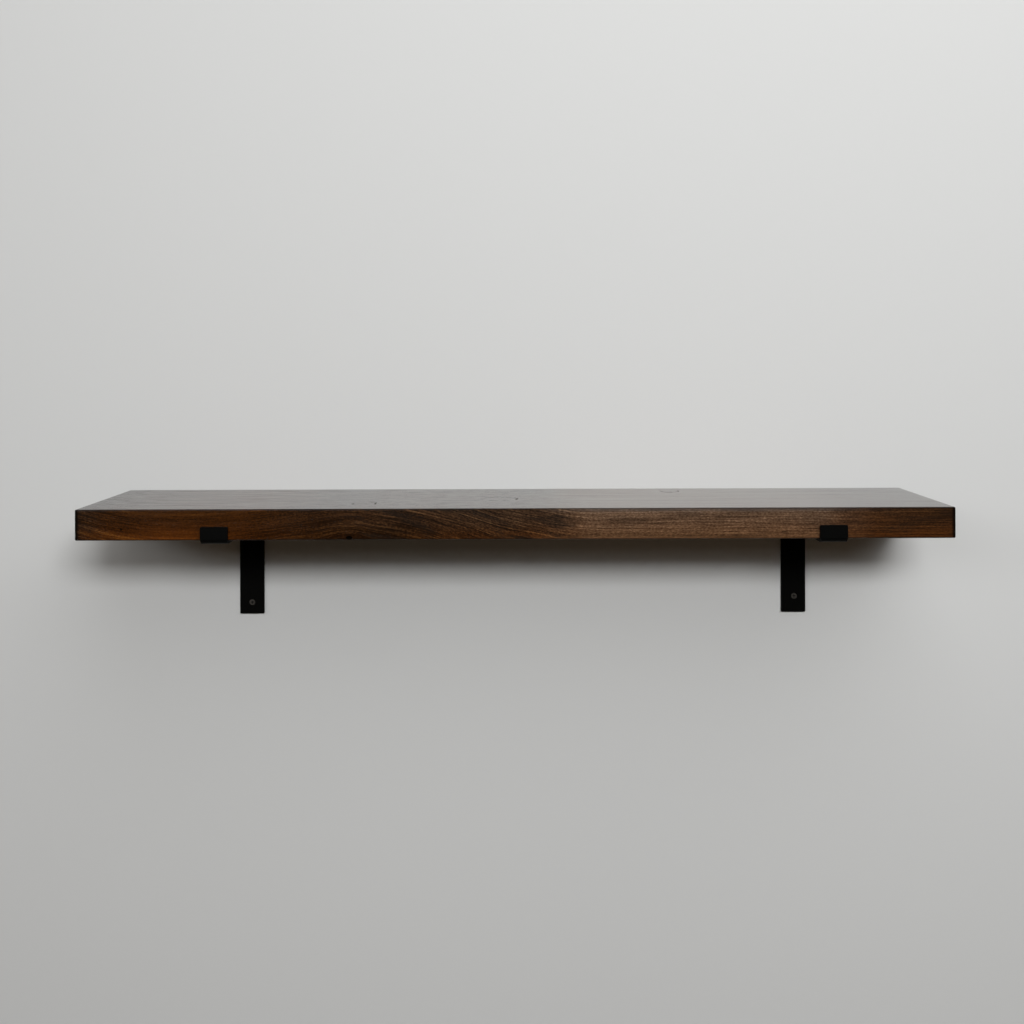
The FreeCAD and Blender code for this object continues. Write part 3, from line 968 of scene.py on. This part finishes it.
# a profile that runs out along the toothed outside and back down the bore, carried round the axis; past the
# neck the cells inside the slit's angle are left out, and walls between outside and bore close the slit
def makePlug(name, finish):
    low, high = boxOf(name)
    look = plugLook
    length, outerRadius = high[1] - low[1], (high[0] - low[0]) / 2
    centre = (low + high) / 2
    body = outerRadius - look["bodyRelief"]
    neck, nose, root = look["neck"], look["nose"], look["toothDepth"]
    pitch = (length - nose - neck) / look["teeth"]
    starts = neck + pitch * np.arange(look["teeth"])
    teethY = (starts[:, None] + pitch * np.array(look["toothPlaces"])).ravel()
    teethR = np.tile([body - root, body, body - root * 0.9], look["teeth"])
    splitY = chain(teethY, [length - nose, length - look["noseEdge"], length])
    splitR = chain(teethR, [body - root, body - look["noseSink"], body - look["tipSink"]])
    neckY = np.array([0, look["mouthEdge"], neck * 0.5, neck - look["neckEdge"], neck])
    neckR = np.array([outerRadius - look["neckEdge"], outerRadius, outerRadius, outerRadius, body])
    outY, outR = chain(neckY, splitY), chain(neckR, splitR)
    profileY = chain(outY, outY[::-1])
    profileR = chain(outR, np.full(len(outY), look["bore"]))
    half = np.arcsin(look["slit"] / 2 / profileR)[:, None]
    arc = np.linspace(0, 1, look["arcSteps"] + 1)[None, :]
    gap = np.linspace(0, 1, look["slitSteps"] + 1)[None, 1:-1]
    firstArc = -math.pi / 2 + half + arc * (math.pi - 2 * half)
    secondArc = firstArc + math.pi
    angle = np.concatenate([firstArc, math.pi / 2 - half + gap * 2 * half,
                            secondArc, 1.5 * math.pi - half + gap * 2 * half], axis=1)
    rows, columns = angle.shape
    grid = rowsOf(profileR[:, None] * np.cos(angle), profileY[:, None], profileR[:, None] * np.sin(angle))
    faces = gridFaces(rows, columns, closeRows=True, closeColumns=True)
    cellRow, cellColumn = np.divmod(np.arange(len(faces)), columns)
    neckRow = len(neckY) - 1
    inSplit = (cellRow >= neckRow) & (cellRow < rows - 1 - neckRow)
    arcSteps, period = look["arcSteps"], columns // 2
    inSlit = cellColumn % period >= arcSteps
    faces = faces[~(inSplit & inSlit)]
    outRows = np.arange(neckRow, len(outY))
    inRows = rows - 1 - outRows

    # quads between the outside's and the bore's points of these rows and columns
    def slitWall(outRow, inRow, column):
        edge = np.stack([outRow * columns + column, inRow * columns + column], axis=1)
        return np.concatenate([edge[:-1], edge[1:, ::-1]], axis=1)

    walls = [slitWall(outRows, inRows, column) for column in (0, arcSteps, period, period + arcSteps)]
    for begin in (arcSteps, period + arcSteps):
        spanColumns = (begin + np.arange(look["slitSteps"] + 1)) % columns
        walls.append(slitWall(outRows[0], inRows[0], spanColumns))
    faces = chain(faces, *walls)
    points = grid + np.array([centre[0], low[1], centre[2]])
    addPiece("detailed_" + name, points, faces, finish, [name], 30)


nylon = nylonFinish()
for side in sides:
    for level in ("upper", "lower"):
        makePlug(f"wall_plug_{side}_{level}", nylon)
print("plugs done")


# stage: a plain wall that is open behind the shelf and clear from its back, and a pale floor

stageLook = {
    "wallColour": (0.7, 0.712, 0.71, 1),
    "floorColour": (0.62, 0.61, 0.59, 1),
    "background": 0.86,
    "wallGap": 0.3 * mm,
    "wallHalfWidth": 7.0,
    "wallTop": 3.0,
    "floorZ": -1.3,
    "floorHalf": 14.0,
    "floorNear": 0.8,
    "floorFar": 4.5,
    "inset": 2.5 * mm,
}


# a mesh that belongs to the stage, not to the shelf
def addStage(name, points, faces, material):
    mesh = bpy.data.meshes.new(name)
    mesh.from_pydata(points.tolist(), [], faces.tolist())
    mesh.materials.append(material)
    thing = addObject(name, mesh)
    return thing


# plain paint, seen only from the front
def wallPaint():
    material, start = newTree("wallPaint")
    roller = start.noise(objectPlace(start), (0.3, 0.001, 0.3), 2.0)
    behind = start.node("ShaderNodeNewGeometry", output="Backfacing")
    finishWith(start, {
        "Base Color": stageLook["wallColour"],
        "Roughness": 0.8,
        "Specular IOR Level": 0.2,
        "Normal": start.bump(roller, 0.04, 0.3 * mm),
    }, behind, start.node("ShaderNodeBsdfTransparent"))
    return material


# pale paint near the shelf that fades into the background with distance
def floorPaint():
    material, start = newTree("floorPaint")
    x, y = start.node("ShaderNodeTexCoord", output="Object").parts()[:2]
    away = start.math("SQRT", x * x + y * y)
    faded = start.step(away, stageLook["floorNear"], stageLook["floorFar"])
    finishWith(start, {
        "Base Color": stageLook["floorColour"],
        "Roughness": 0.75,
        "Specular IOR Level": 0.2,
    }, faded, start.node("ShaderNodeEmission", inputs={"Strength": stageLook["background"]}))
    return material


# a grid on the wall plane whose cells behind the plank and the two legs are left out
def makeStage():
    inset = stageLook["inset"]
    legs = [boxOf("bracket_" + side) for side in sides]
    half, top, bottom = stageLook["wallHalfWidth"], stageLook["wallTop"], stageLook["floorZ"]
    xLines = np.array([-half, plankLow[0] + inset, legs[0][0][0] + inset, legs[0][1][0] - inset,
                       legs[1][0][0] + inset, legs[1][1][0] - inset, plankHigh[0] - inset, half])
    legTop = plankLow[2] - bracket["thickness"] - bracket["innerRadius"] - inset
    zLines = np.array([bottom, legs[0][0][2] + inset, legTop,
                       plankLow[2] + inset, plankHigh[2] - inset, top])
    x, z = np.meshgrid(xLines, zLines, indexing="ij")
    faces = gridFaces(*x.shape)
    column, row = np.divmod(np.arange(len(faces)), len(zLines) - 1)
    behindPlank = (row == 3) & (column > 0) & (column < len(xLines) - 2)
    behindLegs = (row == 1) & ((column == 2) | (column == 4))
    points = rowsOf(x, stageLook["wallGap"], z)
    addStage("wall", points, faces[~(behindPlank | behindLegs)][:, ::-1], wallPaint())
    corners = np.array([[-1, -1], [1, -1], [1, 1], [-1, 1]]) * stageLook["floorHalf"]
    corners = rowsOf(*corners.T, bottom)
    floor = addStage("floor", corners, np.array([[0, 1, 2, 3]]), floorPaint())
    # no light comes up from below
    floor.visible_diffuse = False
    floor.visible_glossy = False


makeStage()
print("stage done")


# light: a key from the right, a large fill from above, a wide weaker lamp from the left, one for the back,
# and a dim warm room

frontAim = (0.0, -0.13, -0.02)

lamps = {
    "keyLamp": {"place": (0.65, -4.1, 1.38), "aim": frontAim, "size": (1.44, 0.59), "power": 91.0},
    "fillLamp": {"place": (0.93, -1.76, 2.32), "aim": frontAim, "size": (3.2, 3.2), "power": 54.0},
    "sideLamp": {"place": (-1.97, -3.84, 1.16), "aim": frontAim, "size": (3.36, 0.81), "power": 28.5},
    "backLamp": {"place": (-1.6, 3.2, 1.2), "aim": (0.0, 0.0, -0.05), "size": (2.5, 2.5), "power": 160.0},
}

room = {
    "light": 0.048,
    "colour": (1.0, 0.74, 0.5, 1),
    "mirrored": (0.2, 0.9),  # how far towards the wall's side the background begins in reflections
    "unmirrored": ("keyLamp", "fillLamp"),  # they leave no hot mirror images in the satin coat
}


# a flat lamp that faces its aim
def addLamp(name, look):
    lamp = bpy.data.lights.new(name, "AREA")
    lamp.shape = "RECTANGLE"
    lamp.size, lamp.size_y = look["size"]
    lamp.energy = look["power"]
    thing = addObject(name, lamp)
    thing.location = look["place"]
    facing = Vector(look["aim"]) - Vector(look["place"])
    thing.rotation_euler = facing.to_track_quat("-Z", "Y").to_euler()
    thing.visible_glossy = name not in room["unmirrored"]


# the room is pale to rays that show it, dim to the others, and dark on the viewer's side in reflections
def lightRoom():
    world = bpy.data.worlds.new("room")
    bpy.context.scene.world = world
    world.use_nodes = True
    world.node_tree.nodes.clear()
    start = Wire(world.node_tree)
    path = start.node("ShaderNodeLightPath").socket.node
    camera, glossy, through = (Wire(world.node_tree, path.outputs[name]) for name in
                               ("Is Camera Ray", "Is Glossy Ray", "Is Transmission Ray"))
    inwards = start.node("ShaderNodeTexCoord", output="Generated").parts()[1]
    mirrored = start.math("MAXIMUM", glossy, through) * start.step(inwards, *room["mirrored"])
    shown = start.math("MAXIMUM", camera, mirrored)
    strength = room["light"] + shown * (stageLook["background"] - room["light"])
    colour = start.mix(shown, room["colour"], (1, 1, 1, 1))
    glow = start.node("ShaderNodeBackground", inputs={"Color": colour, "Strength": strength})
    start.node("ShaderNodeOutputWorld", inputs={"Surface": glow})


for name, look in lamps.items():
    addLamp(name, look)
lightRoom()
print("light done")


# camera: level, looking straight at the wall, with the horizon above the middle of the picture

cameraLook = {
    "place": (-0.0037, -1.987, 0.2337),
    "lens": 44.05,
    "sensor": 36.0,
    "shiftY": -0.1533,
    "roll": 0.186,  # degrees
}


# the one camera, with its lens, shift and roll
def addCamera():
    lens = bpy.data.cameras.new("camera")
    lens.lens = cameraLook["lens"]
    lens.sensor_width = cameraLook["sensor"]
    lens.shift_y = cameraLook["shiftY"]
    camera = addObject("camera", lens)
    camera.location = cameraLook["place"]
    camera.rotation_euler = (math.pi / 2, math.radians(cameraLook["roll"]), 0)
    bpy.context.scene.camera = camera


addCamera()
bpy.context.scene.view_settings.view_transform = "Standard"

print("scene done")
